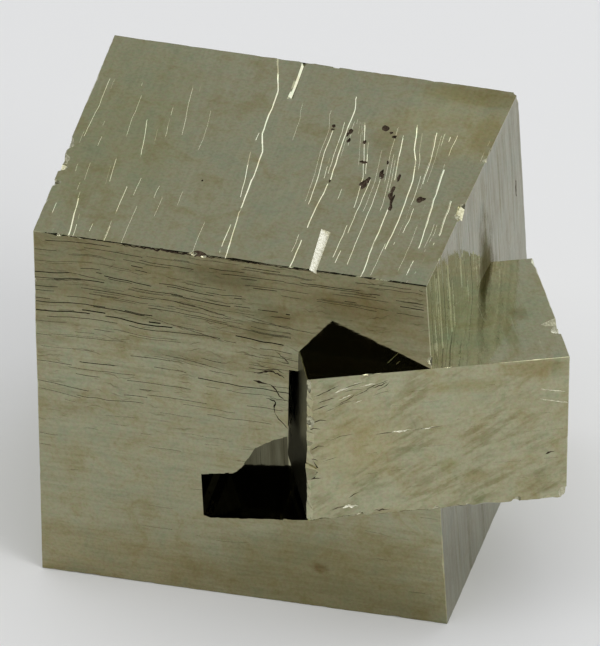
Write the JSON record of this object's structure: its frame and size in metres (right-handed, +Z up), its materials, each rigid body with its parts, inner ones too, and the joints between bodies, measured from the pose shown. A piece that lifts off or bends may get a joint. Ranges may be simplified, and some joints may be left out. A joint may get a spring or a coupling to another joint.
{
  "type": "pyrite crystal specimen",
  "caption": "Cube-shaped pyrite crystal with a smaller turned crystal grown through its front right side and a stepped hollow beside it.",
  "frame": {"origin": "middle of the specimen's footprint, on the surface that it rests on", "axes": "+Z up; -Y is the large crystal's broad front face, with the stepped hollow; +X is the side that the small crystal juts out on"},
  "size_m": [0.0536, 0.0394, 0.0421],
  "materials": {
    "large_crystal_pyrite": "bright natural crystal faces with fine parallel striations and thin olive-brown tarnish",
    "small_crystal_pyrite": "bright natural crystal faces, finely scratched, with thin olive-brown tarnish"
  },
  "bodies": {
    "root": {"large_crystal": "large_crystal_pyrite", "small_crystal": "small_crystal_pyrite"}
  },
  "joints": []
}
